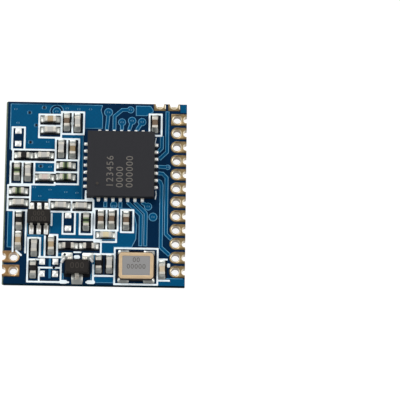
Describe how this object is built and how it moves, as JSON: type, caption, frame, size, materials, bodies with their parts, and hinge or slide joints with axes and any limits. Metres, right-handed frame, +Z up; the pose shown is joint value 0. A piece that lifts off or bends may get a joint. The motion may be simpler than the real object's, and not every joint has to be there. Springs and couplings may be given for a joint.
{
  "type": "radio transceiver module",
  "caption": "Small blue circuit board with plated half-hole edge pads, a square radio chip, a crystal and rows of tiny soldered components.",
  "frame": {"origin": "centre of the board's underside", "axes": "+X towards the long row of plated holes, +Y towards the edge with two half holes, +Z up from the underside to the components"},
  "size_m": [0.016, 0.0166, 0.0018],
  "materials": {
    "mask_on_laminate": "glossy blue solder mask over bare laminate",
    "mask_on_copper": "glossy blue solder mask over copper",
    "gold_plate": "satin gold plating",
    "solder": "bright solder",
    "white_ink": "matt printed ink",
    "moulding_black": "matt moulding compound",
    "tinned_lead": "bright tin",
    "crystal_ceramic": "dark ceramic",
    "rim_gold": "satin gold plating",
    "lid_nickel": "matt nickel",
    "tan_ceramic": "matt ceramic with tinned ends",
    "brown_ceramic": "matt ceramic with tinned ends",
    "pale_ceramic": "matt ceramic with tinned ends",
    "green_ceramic": "matt ceramic with tinned ends",
    "resistor_glaze": "black glaze with tinned ends"
  },
  "bodies": {
    "root": {"aerial_pads": "gold_plate", "brown_capacitor_1": "brown_ceramic", "brown_capacitor_2": "brown_ceramic", "brown_capacitor_3": "brown_ceramic", "brown_capacitor_4": "brown_ceramic", "brown_capacitor_5": "brown_ceramic", "circuit_board": "mask_on_laminate", "crystal_base": "crystal_ceramic", "crystal_lid": "lid_nickel", "crystal_rim": "rim_gold", "header_pads": "gold_plate", "inductor_1": "green_ceramic", "inductor_2": "green_ceramic", "inductor_3": "green_ceramic", "inductor_4": "green_ceramic", "inductor_5": "green_ceramic", "legend_ink": "white_ink", "masked_copper": "mask_on_copper", "pale_capacitor_1": "pale_ceramic", "pale_capacitor_10": "pale_ceramic", "pale_capacitor_11": "pale_ceramic", "pale_capacitor_12": "pale_ceramic", "pale_capacitor_13": "pale_ceramic", "pale_capacitor_2": "pale_ceramic", "pale_capacitor_3": "pale_ceramic", "pale_capacitor_4": "pale_ceramic", "pale_capacitor_5": "pale_ceramic", "pale_capacitor_6": "pale_ceramic", "pale_capacitor_7": "pale_ceramic", "pale_capacitor_8": "pale_ceramic", "pale_capacitor_9": "pale_ceramic", "radio_chip_body": "moulding_black", "radio_chip_leads_and_paddle": "tinned_lead", "resistor_1": "resistor_glaze", "resistor_2": "resistor_glaze", "resistor_3": "resistor_glaze", "resistor_4": "resistor_glaze", "resistor_5": "resistor_glaze", "resistor_6": "resistor_glaze", "solder_joints": "solder", "switch_body": "moulding_black", "switch_leads": "tinned_lead", "tan_capacitor_1": "tan_ceramic", "tan_capacitor_2": "tan_ceramic", "tan_capacitor_3": "tan_ceramic", "tan_capacitor_4": "tan_ceramic", "top_edge_pads": "gold_plate", "transistor_body": "moulding_black", "transistor_leads": "tinned_lead"}
  },
  "joints": []
}
